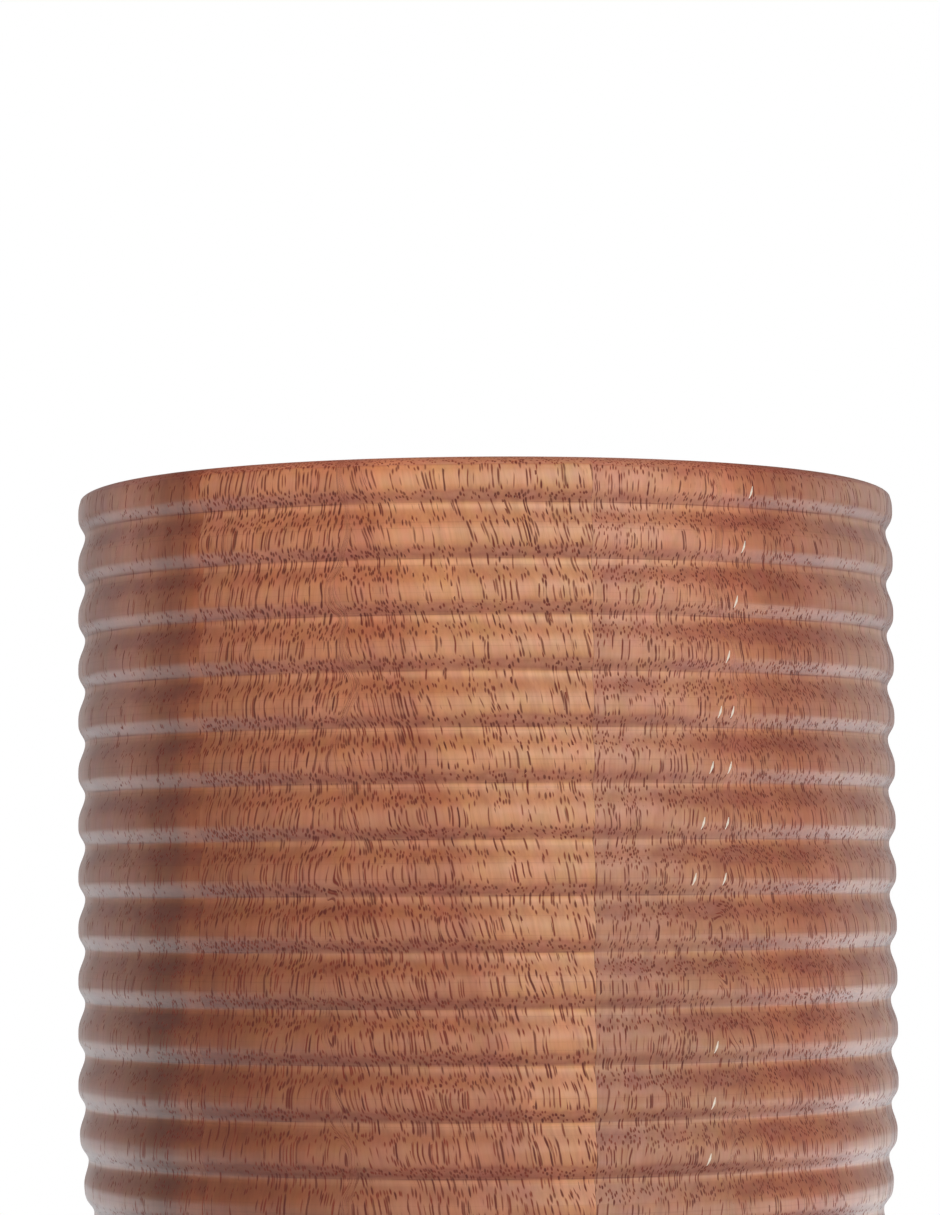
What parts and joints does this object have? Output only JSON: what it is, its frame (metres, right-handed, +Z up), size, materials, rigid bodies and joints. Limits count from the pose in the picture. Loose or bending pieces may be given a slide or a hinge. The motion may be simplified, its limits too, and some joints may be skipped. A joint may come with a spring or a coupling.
{
  "type": "bathroom tumbler",
  "caption": "Free-standing wooden bathroom tumbler: a straight cup of ribbed, edge-glued staves that curves in to a flat foot, with a base disc held in a groove.",
  "frame": {"origin": "on the surface the tumbler stands on, at the centre of its foot ring", "axes": "+Z up along the axis on which the tumbler was turned; -Y is the front that the picture shows, and +X is the picture's right"},
  "size_m": [0.08, 0.08, 0.1],
  "materials": {
    "amber_wood": "satin lacquer over open-pored amber heartwood",
    "rose_wood": "satin lacquer over open-pored rose-brown heartwood",
    "umber_wood": "satin lacquer over open-pored dark brown heartwood"
  },
  "bodies": {
    "root": {"stave_front": "amber_wood", "stave_front_right": "rose_wood", "stave_back_right": "umber_wood", "stave_back": "amber_wood", "stave_back_left": "rose_wood", "stave_front_left": "umber_wood", "base_disc": "umber_wood"}
  },
  "joints": []
}
